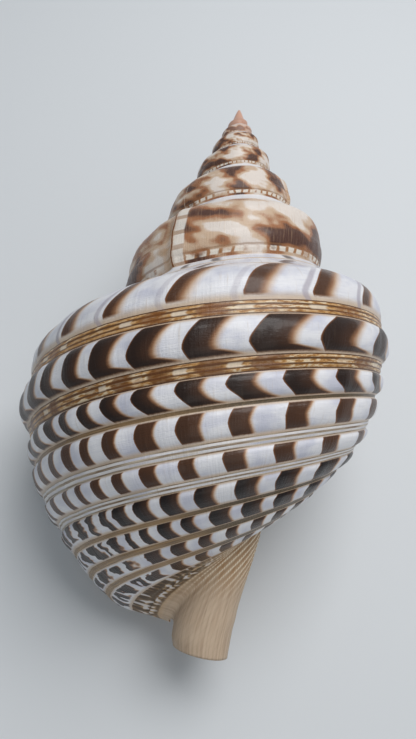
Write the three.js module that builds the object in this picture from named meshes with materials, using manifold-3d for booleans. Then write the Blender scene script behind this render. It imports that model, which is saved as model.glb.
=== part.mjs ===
// Triton shell: one hollow spiral shell lying on its mouth, in millimetres, +Z up.
// The spire points to +Y and the siphonal canal to -Y.
import * as THREE from 'three';
import Module from 'manifold-3d';

// ---- Driving dimensions -------------------------------------------------
const WHORL_RATIO = 1.522;     // growth of every size in one full turn
const TURNS = 7;               // whorls drawn outside, apex to lip
const LIP_ANGLE = 112;         // lip edge round the axis from the middle of the back, degrees
const TOP_HEIGHT = 137;        // suture at the lip, distance from the apex along the axis
const TOP_RADIUS = 55.9;       // suture at the lip, distance from the axis
const JOIN_HEIGHT = 284;       // where the base has closed onto the canal
const TIP_HEIGHT = 292;        // end of the siphonal canal
const APEX_HEIGHT = 0.8;       // rounded point of the apex
const CANAL_LEAN = -13.6;      // how far the end of the canal leans to the lip's side
const LEAN_FROM = 237;         // height where it starts to lean
const END_SLANT = 0.2;         // slope of the canal's end, longer on the side away from the lip
const SPIRE_LEAN = 3.4;        // how far the apex leans the other way
const SPIRE_LEAN_TO = 130;     // height where the spire is back on the axis
const SPIRE_SLIM = 0.07;       // how much narrower the oldest whorls are
const WALL = 4.2;              // wall thickness at the lip; it shrinks with the growth
const GLAZE = 1.6;             // callus laid over the inner side of the mouth
const SWELL = 0.2;             // how much wider the last whorl grows than a plain spiral
const SWELL_SPAN = 350;        // degrees over which that swelling comes in
const LIP_FLARE = 3.8;         // turned-out edge of the lip
const LIP_FLARE_SPAN = 16;     // degrees over which the lip turns out
const CORD_HEIGHT = 1.5;       // relief of the broad spiral cords at the lip
const VARIX_HEIGHT = 4;        // relief of a resting stage at the lip's size
const VARIX_SPAN = 22;         // degrees from the foot to the crest of a resting stage
const VARICES = [-225, -441, -670, -901];  // resting stages, degrees back from the lip
const CHAMBER_TURNS = 2;       // how far the hollow runs back inside
const CHANNEL_HEAD = 5.6;      // radius of the canal's channel where it leaves the chamber
const CHANNEL_END = 4.6;       // radius of the channel at its end
const SLIT_HEAD = 4.8;         // half width of the open side of the canal, at either end
const SLIT_END = 3.6;
const SLIT_DEPTH = 34;
const CANAL_FACE = 200;        // way the open side looks, degrees round the axis from the back

// Resting attitude on the ground
const PITCH = 12.08;           // spire lifted, degrees
const ROLL = -4.13;            // turn about the shell's own axis, degrees

// Outline of the whorl at the lip: height from the apex, radius
const OUTLINE = [
  [TOP_HEIGHT, TOP_RADIUS], [147.5, 66], [161, 82.8], [177, 87.6], [194, 88.1],
  [TOP_HEIGHT * WHORL_RATIO, TOP_RADIUS * WHORL_RATIO],
  [233, 78.3], [251, 68.3], [264, 55.8], [273, 45], [279, 33.5], [283, 19], [287, 5], [293, 0],
];
// Pillar round the axis that carries the fasciole and the canal: height, radius
const PILLAR = [[150, 27], [200, 23], [245, 12.8], [272, 12.8], [284, 13.6], [292, 12.4]];

// Heights of the grid rows at the lip: groove, crest, groove ... down the whorl
const SPIRE_ROWS = [TOP_HEIGHT, 142, 148, 155, 164, 172, 181, 187, 195, 203,
  TOP_HEIGHT * WHORL_RATIO];
const BASE_ROWS = [214, 220.5, 227.5, 236, 242, 248.5, 254, 259.5, 263.5, 268];
const GROOVES = [137, 148, 181, 203, 220.5, 236, 248.5, 259.5, 268, 275];
const FOOT_ROWS = 5;           // rows from the last cord down to the join
const CANAL_ROWS = 2;          // rows from the join to the end of the canal
const PER_TURN = 40;           // grid columns in one turn
const FINE_TURNS = 3;          // outer turns at that spacing; inner ones use half

const rad = (deg) => deg * Math.PI / 180;
const clamp = (x, a = 0, b = 1) => Math.min(b, Math.max(a, x));
const mix = (a, b, t) => a + (b - a) * t;
const smooth = (a, b, x) => { const t = clamp((x - a) / (b - a)); return t * t * (3 - 2 * t); };
const softMax = (a, b, k) => (a + b + Math.sqrt((a - b) ** 2 + k * k)) / 2;

// Smooth curve through knots [x, y], flat outside them
function curve(knots, x) {
  const n = knots.length;
  if (x <= knots[0][0]) return knots[0][1];
  if (x >= knots[n - 1][0]) return knots[n - 1][1];
  let i = 0;
  while (x > knots[i + 1][0]) i += 1;
  const slope = (k) => {
    const a = knots[Math.max(0, k - 1)];
    const b = knots[Math.min(n - 1, k + 1)];
    return (b[1] - a[1]) / (b[0] - a[0]);
  };
  const [x0, y0] = knots[i];
  const [x1, y1] = knots[i + 1];
  const d = x1 - x0;
  const t = (x - x0) / d;
  return (2 * t ** 3 - 3 * t ** 2 + 1) * y0 + (t ** 3 - 2 * t ** 2 + t) * d * slope(i)
    + (3 * t ** 2 - 2 * t ** 3) * y1 + (t ** 3 - t ** 2) * d * slope(i + 1);
}

// ---- Form of the shell --------------------------------------------------
const RATE = Math.log(WHORL_RATIO) / (2 * Math.PI);
const growth = (theta) => Math.exp(RATE * theta);

function swell(theta, eta) {
  const late = clamp(1 + theta / rad(SWELL_SPAN));
  return 1 + SWELL * late * late * smooth(TOP_HEIGHT - 8, TOP_HEIGHT + 34, eta)
    * smooth(TOP_HEIGHT, TOP_HEIGHT + 6, eta);
}

function flare(theta, eta) {
  const late = clamp(1 + theta / rad(LIP_FLARE_SPAN));
  return LIP_FLARE * late * late * smooth(TOP_HEIGHT + 2, TOP_HEIGHT + 25, eta)
    * (1 - smooth(258, 278, eta));
}

// Broad rounded cords between the grooves
function cords(eta) {
  for (let i = 0; i + 1 < GROOVES.length; i += 1) {
    if (eta >= GROOVES[i] && eta < GROOVES[i + 1]) {
      const t = (eta - GROOVES[i]) / (GROOVES[i + 1] - GROOVES[i]);
      return CORD_HEIGHT * Math.sin(Math.PI * t) ** 0.6;
    }
  }
  return 0;
}

// A resting stage rises slowly and drops steeply on its younger side
function varix(theta, eta) {
  let rise = 0;
  for (const at of VARICES) {
    const d = (theta - rad(at)) / rad(VARIX_SPAN);
    if (d > -1 && d <= 0) rise = (1 + d) ** 2;
    if (d > 0 && d < 0.35) rise = (1 - d / 0.35) ** 2;
  }
  return VARIX_HEIGHT * rise * smooth(TOP_HEIGHT, TOP_HEIGHT + 12, eta)
    * (1 - smooth(255, 275, eta));
}

// Radius of the outside at a growth angle and a height
function outerRadius(theta, height) {
  const g = growth(theta);
  const eta = height / g;
  const plain = g * curve(OUTLINE, eta) * swell(theta, eta) + flare(theta, eta);
  const whorl = plain + g * (cords(eta) + varix(theta, eta));
  const pillar = curve(PILLAR, height);
  if (eta <= WHORL_RATIO * TOP_HEIGHT) return whorl;
  const own = smooth(WHORL_RATIO * TOP_HEIGHT, WHORL_RATIO * TOP_HEIGHT + 12, eta);
  return mix(mix(whorl, softMax(whorl, pillar, 6), own), pillar,
    smooth(JOIN_HEIGHT - 7, JOIN_HEIGHT, height));
}

// Shell axis along -Y from the apex; angle is measured from the back (+Z) to the left (-X)
function place(radius, height, theta) {
  const a = theta + rad(LIP_ANGLE);
  const lean = CANAL_LEAN * smooth(LEAN_FROM, TIP_HEIGHT, height)
    + SPIRE_LEAN * clamp(1 - height / SPIRE_LEAN_TO) ** 1.3;
  const r = radius * (1 - SPIRE_SLIM * (1 - smooth(55, 78, height)));
  const aside = -r * Math.sin(a);
  const slant = END_SLANT * smooth(JOIN_HEIGHT, TIP_HEIGHT, height);
  return [lean + aside, -height - aside * slant, r * Math.cos(a)];
}

// Rows below the cords run down the foot of the whorl and the pillar to the join
function footRows(theta) {
  const g = growth(theta);
  const start = g * BASE_ROWS[BASE_ROWS.length - 1];
  const steps = 60;
  const line = [];
  let length = 0;
  for (let k = 0; k <= steps; k += 1) {
    const h = mix(start, JOIN_HEIGHT, k / steps);
    const r = outerRadius(theta, h);
    if (k > 0) length += Math.hypot(r - line[k - 1].r, h - line[k - 1].h);
    line.push({ r, h, length });
  }
  const rows = [];
  for (let i = 1; i <= FOOT_ROWS; i += 1) {
    const want = length * i / FOOT_ROWS;
    const k = Math.max(1, line.findIndex((p) => p.length >= want - 1e-9));
    const a = line[k - 1];
    const b = line[k];
    const t = (want - a.length) / (b.length - a.length);
    rows.push(i === FOOT_ROWS ? JOIN_HEIGHT : mix(a.h, b.h, t));
  }
  return rows;
}

function rowHeights(theta, whole) {
  const g = growth(theta);
  const rows = SPIRE_ROWS.map((eta) => eta * g);
  if (!whole) return rows;
  rows.push(...BASE_ROWS.map((eta) => eta * g), ...footRows(theta));
  for (let i = 1; i <= CANAL_ROWS; i += 1) {
    rows.push(mix(JOIN_HEIGHT, TIP_HEIGHT, i / CANAL_ROWS));
  }
  return rows;
}

const COVER = SPIRE_ROWS.length - 1;
const JOIN = COVER + BASE_ROWS.length + FOOT_ROWS;
const LAST = JOIN + CANAL_ROWS;

// ---- Mesh ---------------------------------------------------------------
const points = [];
const faces = [];
const addPoint = (p) => points.push(p) - 1;
const quad = (a, b, c, d) => faces.push([a, b, c], [a, c, d]);

// Growth columns are numbered in whole fine steps; the inner turns skip every other one
const STEPS = TURNS * PER_TURN;
const COARSE_END = (TURNS - FINE_TURNS) * PER_TURN;
const thetaOf = (j) => (j - STEPS) * 2 * Math.PI / PER_TURN;
const grid = new Map();

function fillColumn(j) {
  const theta = thetaOf(j);
  const lastTurn = j >= STEPS - PER_TURN;
  const heights = rowHeights(theta, lastTurn);
  const column = [];
  for (let i = 0; i < heights.length; i += 1) {
    const inner = grid.get(j - PER_TURN);
    if (i === 0 && inner) column.push(inner[COVER]);
    else if (j === STEPS && i >= JOIN) column.push(inner[i]);
    else column.push(addPoint(place(outerRadius(theta, heights[i]), heights[i], theta)));
  }
  grid.set(j, column);
}
for (let j = 0; j <= STEPS; j += 1) {
  if (j >= COARSE_END || j % 2 === 0) fillColumn(j);
}

// Outside skin. A coarse column pair takes in the odd point of the finer turn below it.
function skinBetween(j0, j1) {
  const a = grid.get(j0);
  const b = grid.get(j1);
  const rows = Math.min(a.length, b.length) - 1;
  for (let i = 0; i < rows; i += 1) {
    const below = i === COVER - 1 && j1 - j0 === 2 ? grid.get(j0 + 1 + PER_TURN) : null;
    if (below) {
      faces.push([a[i], b[i], below[0]], [a[i], below[0], a[i + 1]], [b[i], b[i + 1], below[0]]);
    } else quad(a[i], b[i], b[i + 1], a[i + 1]);
  }
}
const columns = [...grid.keys()];
for (let k = 0; k + 1 < columns.length; k += 1) skinBetween(columns[k], columns[k + 1]);

// Rounded point of the apex, closing the first turn
const apex = addPoint(place(0, APEX_HEIGHT, 0));
for (let j = 0; j < PER_TURN; j += 2) {
  const next = j + 2 === PER_TURN ? grid.get(0)[COVER] : grid.get(j + 2)[0];
  faces.push([next, grid.get(j)[0], apex]);
}
for (let i = 0; i < COVER; i += 1) faces.push([grid.get(0)[i], grid.get(0)[i + 1], apex]);

// End of the canal
const tip = addPoint([CANAL_LEAN, -TIP_HEIGHT, 0]);
for (let j = STEPS - PER_TURN; j < STEPS; j += 1) {
  faces.push([grid.get(j)[LAST], grid.get(j + 1)[LAST], tip]);
}

// ---- Mouth and chamber --------------------------------------------------
// Both sides of the mouth as curves by share of their length, suture to join
function byLength(line) {
  const reach = [0];
  for (let k = 1; k < line.length; k += 1) {
    reach.push(reach[k - 1] + Math.hypot(line[k][0] - line[k - 1][0], line[k][1] - line[k - 1][1]));
  }
  const total = reach[reach.length - 1];
  return (share) => {
    const want = clamp(share) * total;
    let k = 1;
    while (k < line.length - 1 && reach[k] < want) k += 1;
    const t = (want - reach[k - 1]) / (reach[k] - reach[k - 1]);
    return [mix(line[k - 1][0], line[k][0], t), mix(line[k - 1][1], line[k][1], t)];
  };
}
function plainOuter(theta, eta) {
  const whorl = curve(OUTLINE, eta) * swell(theta, eta) + flare(theta, eta);
  const own = smooth(WHORL_RATIO * TOP_HEIGHT, WHORL_RATIO * TOP_HEIGHT + 12, eta);
  return mix(whorl, softMax(whorl, curve(PILLAR, eta), 6), own);
}
const lipRows = rowHeights(0, true);
const backRows = rowHeights(-2 * Math.PI, true);
const lipHeight = byLength(lipRows.slice(0, JOIN + 1).map((h) => [plainOuter(0, h), h]));
const backSide = byLength(backRows.slice(COVER, JOIN + 1)
  .map((h) => [outerRadius(-2 * Math.PI, h), h]));
const CORNER_TOP = 0.1;        // shares of the mouth taken up by its solid corners
const CORNER_FOOT = 0.93;

// One point of the hollow's outline, at the lip's size
function hollowPoint(side, share, theta) {
  const p = mix(CORNER_TOP, CORNER_FOOT, share);
  const eta = lipHeight(p)[1];
  const outside = [plainOuter(theta, eta), eta];
  const inside = backSide(p);
  const gap = Math.hypot(outside[0] - inside[0], outside[1] - inside[1]);
  const corner = 0.5 * (1 - smooth(0, 0.16, share) * (1 - smooth(0.86, 1, share)));
  const cut = (side > 0 ? WALL : GLAZE) / gap;
  const f = Math.min(0.5, Math.max(cut, corner));
  const [from, to] = side > 0 ? [outside, inside] : [inside, outside];
  return [mix(from[0], to[0], f), mix(from[1], to[1], f)];
}
const BACK = JOIN - COVER;
function hollowLoop(theta, shrink = 0) {
  const g = growth(theta);
  const loop = [];
  for (let i = 0; i <= JOIN; i += 1) loop.push(hollowPoint(1, i / JOIN, theta));
  for (let i = BACK - 1; i > 0; i -= 1) loop.push(hollowPoint(-1, i / BACK, theta));
  const mid = [0, 1].map((c) => loop.reduce((sum, p) => sum + p[c], 0) / loop.length);
  return loop.map((p) => addPoint(place(g * mix(p[0], mid[0], shrink),
    g * mix(p[1], mid[1], shrink), theta)));
}
function band(outer, inner) {
  for (let k = 0; k < outer.length; k += 1) {
    const n = (k + 1) % outer.length;
    quad(outer[n], outer[k], inner[k], inner[n]);
  }
}
const edge = [];
for (let i = 0; i <= JOIN; i += 1) edge.push(grid.get(STEPS)[i]);
for (let i = JOIN - 1; i > COVER; i -= 1) edge.push(grid.get(STEPS - PER_TURN)[i]);
let ring = edge;
const rings = Math.round(CHAMBER_TURNS * PER_TURN / 2);
for (let m = 0; m <= rings; m += 1) {
  const theta = -0.03 - m * 4 * Math.PI / PER_TURN;
  const next = hollowLoop(theta, m === rings ? 0.45 : 0);
  band(ring, next);
  ring = next;
}
const end = addPoint([0, 1, 2].map((c) => ring.reduce((s, k) => s + points[k][c], 0) / ring.length));
for (let k = 0; k < ring.length; k += 1) faces.push([ring[(k + 1) % ring.length], ring[k], end]);

// ---- Solid --------------------------------------------------------------
const wasm = await Module();
wasm.setup();
const { Manifold, Mesh } = wasm;
const body = new Manifold(new Mesh({
  numProp: 3,
  vertProperties: new Float32Array(points.flat()),
  triVerts: new Uint32Array(faces.flat()),
}));

// Channel and open side of the siphonal canal, from the foot of the mouth out at the end
const face = rad(CANAL_FACE);
const look = [-Math.sin(face), 0, Math.cos(face)];
const ball = (r, at, out) => Manifold.sphere(r, 16)
  .translate([at[0] + look[0] * out, at[1], at[2] + look[2] * out]);
const openEnd = (at, channel, slit) => [ball(channel, at, 0), ball(channel, at, 2),
  ball(slit, at, SLIT_DEPTH)];
const canal = Manifold.hull([
  ...openEnd(place(21, 270, 0), CHANNEL_HEAD, SLIT_HEAD),
  ...openEnd([CANAL_LEAN, -TIP_HEIGHT - 8, 0], CHANNEL_END, SLIT_END),
]);
// The cut can free a crumb at the canal's end, so the largest piece is the shell
const shell = body.subtract(canal).decompose()
  .reduce((best, piece) => (piece.volume() > best.volume() ? piece : best));

// Rest the shell on its mouth, centre it and set it on the ground
const turned = shell.rotate([0, ROLL, 0]).rotate([PITCH, 0, 0]);
const box = turned.boundingBox();
const rested = turned.translate([-(box.min[0] + box.max[0]) / 2,
  -(box.min[1] + box.max[1]) / 2, -box.min[2]]);

function toGeometry(solid) {
  const mesh = solid.getMesh();
  const geometry = new THREE.BufferGeometry();
  const flat = new Float32Array(mesh.numVert * 3);
  for (let v = 0; v < mesh.numVert; v += 1) {
    for (let c = 0; c < 3; c += 1) flat[v * 3 + c] = mesh.vertProperties[v * mesh.numProp + c];
  }
  geometry.setAttribute('position', new THREE.BufferAttribute(flat, 3));
  geometry.setIndex(new THREE.BufferAttribute(new Uint32Array(mesh.triVerts), 1));
  geometry.computeVertexNormals();
  return geometry;
}

const material = new THREE.MeshStandardMaterial({ color: 0xd9cdbd, roughness: 0.35 });
const mesh = new THREE.Mesh(toGeometry(rested), material);
mesh.name = 'shell';
const part = new THREE.Group();
part.name = 'triton_shell';
part.add(mesh);
export default part;
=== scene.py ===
# Triton shell: a hollow spiral sea shell lying on its mouth, with its spire towards +Y.
# The shell is one mesh: a helical skin that closes over a rounded lip into the chamber.
import math
from typing import NamedTuple

import bmesh
import bpy
import numpy as np
from mathutils import Matrix, Vector


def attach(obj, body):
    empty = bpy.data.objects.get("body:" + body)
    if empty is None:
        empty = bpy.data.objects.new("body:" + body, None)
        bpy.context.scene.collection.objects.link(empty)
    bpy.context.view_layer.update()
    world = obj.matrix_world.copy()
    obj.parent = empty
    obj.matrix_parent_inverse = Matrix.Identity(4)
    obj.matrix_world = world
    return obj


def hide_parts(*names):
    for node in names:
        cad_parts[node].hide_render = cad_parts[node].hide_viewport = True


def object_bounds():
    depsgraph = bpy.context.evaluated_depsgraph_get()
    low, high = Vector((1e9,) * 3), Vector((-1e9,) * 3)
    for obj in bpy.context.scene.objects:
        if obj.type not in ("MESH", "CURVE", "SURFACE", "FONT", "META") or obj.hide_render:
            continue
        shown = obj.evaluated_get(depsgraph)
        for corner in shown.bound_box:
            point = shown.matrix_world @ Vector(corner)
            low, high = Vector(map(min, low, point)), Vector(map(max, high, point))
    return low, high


bl_info = {
    "name": "Triton Shell",
    "version": (1, 0, 0),
    "blender": (4, 5, 0),
    "location": "View3D > Sidebar > Shell",
    "description": "Builds a triton shell with its spiral cords, markings and mouth",
    "category": "Add Mesh",
}

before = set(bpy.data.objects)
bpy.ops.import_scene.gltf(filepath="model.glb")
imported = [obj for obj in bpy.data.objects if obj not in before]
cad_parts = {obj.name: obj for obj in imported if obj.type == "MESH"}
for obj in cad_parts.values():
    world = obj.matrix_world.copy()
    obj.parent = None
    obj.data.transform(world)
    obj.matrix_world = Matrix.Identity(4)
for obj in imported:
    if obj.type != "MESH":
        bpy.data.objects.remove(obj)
CAD_BOX = [[float(c) for c in corner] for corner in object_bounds()]
MM = 0.001

# ---- Form, in millimetres at the size of the lip -------------------------
WHORL_RATIO = 1.522       # growth in one turn
TURNS = 7                 # whorls from the apex to the lip
LIP_ANGLE = 112.0         # lip edge round the axis from the middle of the back
TOP_HEIGHT = 137.0        # suture at the lip, along the axis from the apex
TOP_RADIUS = 55.9
COVER_HEIGHT = TOP_HEIGHT * WHORL_RATIO   # where the next whorl takes over
FOOT_HEIGHT = 280.0       # end of the marked cords, where the canal's fine cords begin
JOIN_HEIGHT = 284.0       # where the base has closed onto the canal
TIP_HEIGHT = 292.0
APEX_HEIGHT = 0.8
CANAL_LEAN, LEAN_FROM = -13.6, 237.0      # the canal's end leans to the lip's side
SPIRE_LEAN, SPIRE_LEAN_TO = 3.4, 130.0    # the apex leans the other way
END_SLANT = 0.2                           # slope of the canal's end
SPIRE_SLIM = 0.07                         # how much narrower the oldest whorls are
PITCH, ROLL = 12.08, -4.13                # attitude on the ground, degrees
SWELL, SWELL_SPAN = 0.2, 350.0
LIP_FLARE, LIP_FLARE_SPAN = 3.8, 16.0
VARIX_RISE, VARIX_SPAN = 4.0, 22.0
VARICES = (-225.0, -441.0, -670.0, -901.0)
OUTLINE = (
    (TOP_HEIGHT, TOP_RADIUS), (147.5, 66), (161, 82.8), (177, 87.6), (194, 88.1),
    (COVER_HEIGHT, TOP_RADIUS * WHORL_RATIO), (233, 78.3), (251, 68.3), (264, 55.8),
    (273, 45), (279, 33.5), (283, 19), (287, 5), (293, 0),
)
PILLAR = ((150, 27), (200, 23), (245, 12.8), (272, 12.8), (284, 13.6), (292, 12.4))

RIBBON, CORD, THREAD, GROOVE, PALE_THREAD, FOOT = range(6)
SKIN_SLOT, HOLLOW_SLOT, CANAL_SLOT = range(3)


class Band(NamedTuple):
    """One strip of the whorl that follows the coil, with its relief and its marks."""
    low: float            # from and to, heights at the lip
    high: float
    rise: float           # relief at the lip
    rows: int             # grid rows
    kind: int
    crowd: float = 1.0    # how much the marks' spacing follows SPACING
    steady: float = 0.0   # how much it is an even 20 degrees
    phase: float = 0.0
    reach: float = 0.45   # length of a mark as a share of the spacing
    tip: float = 0.5      # where across the band the mark's front edge is furthest on
    top_lean: float = 0.1   # how far the front edge falls back at either side
    foot_lean: float = 0.1
    tail: float = 0.0     # how much longer the mark runs along the foot of the band
    shade: float = 0.5    # brown 0, near black 1
    soft: float = 0.5     # how gently the back edge of a mark fades


BANDS = (
    Band(TOP_HEIGHT, 142.5, 1.0, 3, RIBBON, 0.6, 0.3, 0.1, 0.3, 0.5, 0.1, 0.1, 0, 0.6),
    Band(142.5, 150, 0.5, 4, RIBBON, 0.6, 0.3, 0.45, 0.35, 0.8, 0.5, 0.1, 0, 0.3),
    Band(150, 178, 1.7, 14, CORD, 0.24, 0.7, 0.24, 0.27, 0.88, 0.62, 0.06, 0, 0.3, 1.0),
    Band(178, 184.5, -0.4, 8, THREAD, 0.8, 0, 0.35, 0.5, 0.5, 0.2, 0.2, 0, 0.4),
    Band(184.5, 202, 3.2, 11, CORD, 0.845, 0, 0.02, 0.54, 0.7, 0.32, 0.14, 0.8, 0.85, 0.8),
    Band(202, COVER_HEIGHT, 0.1, 8, THREAD, 1.0, 0, 0.2, 0.55, 0.5, 0.2, 0.2, 0, 0.8),
    Band(COVER_HEIGHT, 220, 2.9, 8, CORD, 1.03, 0, 0.24, 0.52, 0.38, 0.12, 0.36, 0.35, 0.9, 0.7),
    Band(220, 221.5, -0.5, 2, GROOVE, 1.0, 0, 0.3, 0.6, 0.5, 0, 0, 0, 0.5),
    Band(221.5, 234, 2.7, 8, CORD, 0.985, 0, 0.71, 0.43, 0.5, 0.12, 0.1, 0, 0.45, 0.3),
    Band(234, 238, 0.5, 5, PALE_THREAD),
    Band(238, 247, 2.5, 6, CORD, 1.0, 0, 0.64, 0.42, 0.3, 0.06, 0.12, 0, 0.45, 0.25),
    Band(247, 250, 0.3, 4, PALE_THREAD),
    Band(250, 258.5, 2.2, 6, CORD, 1.04, 0, 0.95, 0.56, 0.55, 0.12, 0.1, 0, 1.0, 0.5),
    Band(258.5, 260, 0.0, 2, GROOVE),
    Band(260, 267, 2.0, 6, CORD, 1.12, 0, 0.81, 0.56, 0.4, 0.1, 0.2, 0, 1.0, 0.5),
    Band(267, 269, 0.0, 3, GROOVE),
    Band(269, 274.5, 1.3, 5, CORD, 0, 1.6, 0.35, 0.5, 0.5, 0.1, 0.14, 0, 0.8, 0.5),
    Band(274.5, 276, 0.0, 2, GROOVE),
    Band(276, FOOT_HEIGHT, 1.0, 4, CORD, 0, 1.45, 0.4, 0.5, 0.5, 0.1, 0.1, 0, 0.7, 0.5),
)
# Degrees between marks, by degrees back from the lip: they crowd where growth was slow
SPACING = ((-170, 22.5), (-150, 20.5), (-120, 15.3), (-90, 10.6), (-72, 7.4), (-60, 7.6),
           (-46, 10), (0, 10))
FOOT_RADIUS = 30.5        # of the outline at FOOT_HEIGHT
FOOT_CORD = 5.0           # spacing of the fine cords on the foot and the canal
FOOT_ROWS, CANAL_ROWS = 50, 8
FINE = 228                # grid columns in a turn at the lip; halved twice towards the apex
FINE_TURNS, MIDDLE_TURNS = 2, 2


def clamp(x, low=0.0, high=1.0):
    return np.minimum(high, np.maximum(low, x))


def smooth(low, high, x):
    t = clamp((np.asarray(x, float) - low) / (high - low))
    return t * t * (3 - 2 * t)


def mix(a, b, t):
    return a + (b - a) * t


def curve(knots, x):
    """Smooth curve through knots (x, y), flat outside them."""
    kx, ky = np.array(knots, float).T
    slope = np.empty_like(ky)
    slope[1:-1] = (ky[2:] - ky[:-2]) / (kx[2:] - kx[:-2])
    slope[0] = (ky[1] - ky[0]) / (kx[1] - kx[0])
    slope[-1] = (ky[-1] - ky[-2]) / (kx[-1] - kx[-2])
    x = clamp(np.asarray(x, float), kx[0], kx[-1])
    i = np.clip(np.searchsorted(kx, x, side="right") - 1, 0, len(kx) - 2)
    d = kx[i + 1] - kx[i]
    t = (x - kx[i]) / d
    return ((2 * t**3 - 3 * t**2 + 1) * ky[i] + (t**3 - 2 * t**2 + t) * d * slope[i]
            + (3 * t**2 - 2 * t**3) * ky[i + 1] + (t**3 - t**2) * d * slope[i + 1])


def soft_max(a, b, k):
    return (a + b + np.sqrt((a - b) ** 2 + k * k)) / 2


RATE = math.log(WHORL_RATIO) / (2 * math.pi)


def growth(theta):
    return np.exp(RATE * np.asarray(theta, float))


def swell(theta, eta):
    late = clamp(1 + theta / math.radians(SWELL_SPAN))
    return 1 + (SWELL * late**2 * smooth(TOP_HEIGHT - 8, TOP_HEIGHT + 34, eta)
                * smooth(TOP_HEIGHT, TOP_HEIGHT + 6, eta))


def flare(theta, eta):
    late = clamp(1 + theta / math.radians(LIP_FLARE_SPAN))
    return (LIP_FLARE * late**2 * smooth(TOP_HEIGHT + 2, TOP_HEIGHT + 25, eta)
            * (1 - smooth(258, 278, eta)))


def wave(x, seed):
    """Repeatable smooth wandering between -1 and 1."""
    rng = np.random.default_rng(seed)
    total = np.zeros(np.shape(x))
    for rate in (0.73, 1.31, 2.17, 3.7):
        total = total + np.sin(rate * x + rng.uniform(0, 2 * math.pi)) / 2.4
    return total


def spire(theta):
    """0 on the last whorl, 1 on the older ones."""
    return 1 - smooth(-400, -345, np.degrees(theta))


def threads(t, count):
    """Fine rounded threads side by side across a band."""
    return clamp(0.5 - 0.5 * np.cos(2 * math.pi * count * t)) ** 0.7


def cords(theta, eta):
    """Flat-topped spiral cords with threads and narrow grooves between them."""
    theta, eta = np.broadcast_arrays(theta, eta)
    lift = np.zeros(theta.shape)
    for n, band in enumerate(BANDS):
        t = (eta - band.low) / (band.high - band.low)
        here = (t >= 0) & (t < 1)
        t = clamp(t)
        crown = clamp(1 - np.abs(2 * t - 1) ** 3.0) ** 0.75
        uneven = 1 + 0.14 * wave(theta * 15, 40 + n)
        rise = band.rise * crown * (uneven if band.kind == CORD else 1.0)
        if band.kind == THREAD:
            rise = rise + 0.55 * threads(t, 2) * (1 + 0.2 * wave(theta * 40, 60 + n))
        if band.kind == PALE_THREAD:
            rise = rise + 0.3 * threads(t, 2)
        lift = np.where(here, rise, lift)
    # The older whorls are smoother, with a crenulated border above the suture
    old = spire(theta)
    crimp = smooth(198, 201, eta) * (1 - smooth(205, 208, eta))
    crimp = crimp * (0.5 + 0.5 * np.cos(CRIMPS * theta)) ** 0.7
    soft = lift * 0.4 + 0.5 * crimp * (eta < COVER_HEIGHT)
    lift = mix(lift, soft, old)
    # Ribs stand between the lowest cords where they turn down to the lip
    near = smooth(-105, -70, np.degrees(theta))
    for low, high in ((258, 260.6), (266.6, 269.4), (274, 276.6)):
        t = clamp((eta - low) / (high - low))
        lift = np.maximum(lift, near * 1.5 * np.sin(math.pi * t) ** 0.7)
    return lift


def foot_reach(theta, height, radius):
    """How far down the foot of the whorl a point lies, along its profile, at the lip's size."""
    g = growth(theta)
    return clamp(height / g - FOOT_HEIGHT, 0, 1e3) + clamp(FOOT_RADIUS - radius / g, 0, 1e3)


def foot_cords(theta, height, radius):
    """Fine cords over the fasciole, worn away on the canal, coarser near the lip."""
    down = foot_reach(theta, height, radius)
    fine = 0.5 - 0.5 * np.cos(down * 2 * math.pi / FOOT_CORD)
    near = smooth(-115, -75, np.degrees(theta)) * (1 - smooth(9, 15, down))
    worn = 1 - 0.9 * smooth(250, 270, height) * (1 - near)
    past = smooth(0, 2, height / growth(theta) - FOOT_HEIGHT)
    return past * mix(0.6 * fine**3, 1.1 * fine, near) * worn


CRIMPS = 58               # crenulations in a turn, above the suture
WRINKLE = 0.22            # relief of the growth wrinkles


def wrinkles(theta, eta):
    """Growth wrinkles across the cords, strongest near the lip, and a slight unevenness."""
    near = 0.35 + 0.65 * smooth(-90, -45, np.degrees(theta))
    across = wave(np.degrees(theta) * 0.55 + 0.5 * wave(eta * 0.06, 21), 22)
    broad = wave(np.degrees(theta) * 0.07 + eta * 0.03, 23) * wave(eta * 0.05, 24)
    return (WRINKLE * near * across + 0.5 * broad) * smooth(TOP_HEIGHT, TOP_HEIGHT + 8, eta)


def varix(theta, eta):
    """Resting stages: the old lips, each a low rise with a steep step on its younger side."""
    rise = np.zeros(np.broadcast_shapes(np.shape(theta), np.shape(eta)))
    for n, at in enumerate(VARICES):
        d = (theta - math.radians(at) - varix_sway(eta, n)) / math.radians(VARIX_SPAN)
        rise = rise + clamp(1 + d) ** 2 * (d <= 0) + clamp(1 - d / 0.3) ** 2 * (d > 0)
    return (VARIX_RISE * rise * smooth(TOP_HEIGHT, TOP_HEIGHT + 12, eta)
            * (1 - smooth(255, 275, eta)))


def varix_sway(eta, n):
    return 0.012 * wave(np.asarray(eta) * 0.09, 70 + n)


def after_varix(theta, eta):
    """Degrees grown since the nearest resting stage, negative before it."""
    apart = [np.degrees(theta - varix_sway(eta, n)) - at for n, at in enumerate(VARICES)]
    apart = np.stack(np.broadcast_arrays(*apart))
    nearest = np.argmin(np.abs(apart), axis=0)
    return clamp(np.take_along_axis(apart, nearest[None], 0)[0], -30, 30)


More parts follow.
